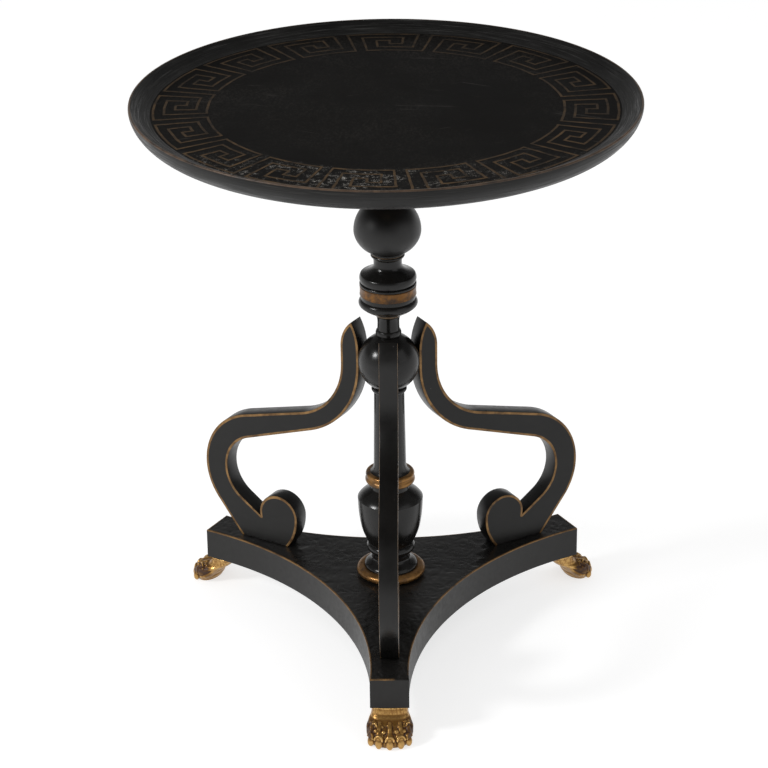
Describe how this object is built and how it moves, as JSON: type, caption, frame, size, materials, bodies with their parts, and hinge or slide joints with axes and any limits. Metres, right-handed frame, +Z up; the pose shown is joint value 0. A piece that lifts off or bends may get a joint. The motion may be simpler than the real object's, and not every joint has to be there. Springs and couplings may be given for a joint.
{
  "type": "tilt top table",
  "caption": "Round dished tilt-top table on a turned pillar with scrolled legs, a hollow-sided plinth and lion's paw feet; the top swings upright and a barrel bolt locks it flat.",
  "frame": {"origin": "on the floor under the pillar's axis", "axes": "+Z up along the pillar; -Y towards the front leg, where the barrel bolt is; +X to the right seen from the front"},
  "size_m": [0.5599, 0.56, 0.6597],
  "materials": {
    "black_wood": "ebonised, worn satin lacquer",
    "gilt_wood": "antique gilding on turned wood",
    "gilt_brass": "antique gilt casting, dark in the hollows",
    "stained_wood": "dark stain, matt",
    "plain_wood": "bare",
    "bolt_brass": "aged brass",
    "screw_brass": "aged brass",
    "steel": "dull"
  },
  "bodies": {
    "stand": {"plinth": "black_wood", "leg_front": "black_wood", "leg_right": "black_wood", "leg_left": "black_wood", "vase": "black_wood", "shaft": "black_wood", "scroll_ball": "black_wood", "neck": "black_wood", "capital": "black_wood", "top_ball": "black_wood", "pillar_head": "black_wood", "base_ring": "gilt_wood", "vase_ring": "gilt_wood", "gilt_band": "gilt_wood", "paw_front": "gilt_brass", "paw_right": "gilt_brass", "paw_left": "gilt_brass", "pivot_block": "stained_wood", "leg_dowel_front": "plain_wood", "leg_dowel_right": "plain_wood", "leg_dowel_left": "plain_wood", "keeper_plate": "bolt_brass", "paw_stud_front": "steel", "leg_screw_front_1": "steel", "leg_screw_front_2": "steel", "paw_stud_right": "steel", "leg_screw_right_1": "steel", "leg_screw_right_2": "steel", "paw_stud_left": "steel", "leg_screw_left_1": "steel", "leg_screw_left_2": "steel", "pivot_pin_right": "steel", "pivot_pin_left": "steel", "keeper_screw_1": "screw_brass", "keeper_screw_2": "screw_brass"},
    "top": {"table_top": "black_wood", "bearer_right": "stained_wood", "bearer_left": "stained_wood", "bolt_housing": "bolt_brass", "bearer_screw_right_1": "steel", "bearer_screw_right_2": "steel", "bearer_screw_right_3": "steel", "bearer_screw_left_1": "steel", "bearer_screw_left_2": "steel", "bearer_screw_left_3": "steel", "housing_screw_1": "screw_brass", "housing_screw_2": "screw_brass", "housing_screw_3": "screw_brass", "housing_screw_4": "screw_brass"},
    "bolt": {"slide_bolt": "bolt_brass"}
  },
  "joints": [
    {"name": "top_tilt", "type": "hinge", "parent": "stand", "child": "top", "pos_m": [0, 0.0224, 0.61067], "axis": [-1, 0, 0], "range_deg": [0, 90]},
    {"name": "bolt_slide", "type": "slide", "parent": "top", "child": "bolt", "axis": [0, 1, 0], "range_m": [0, 0.014]}
  ]
}
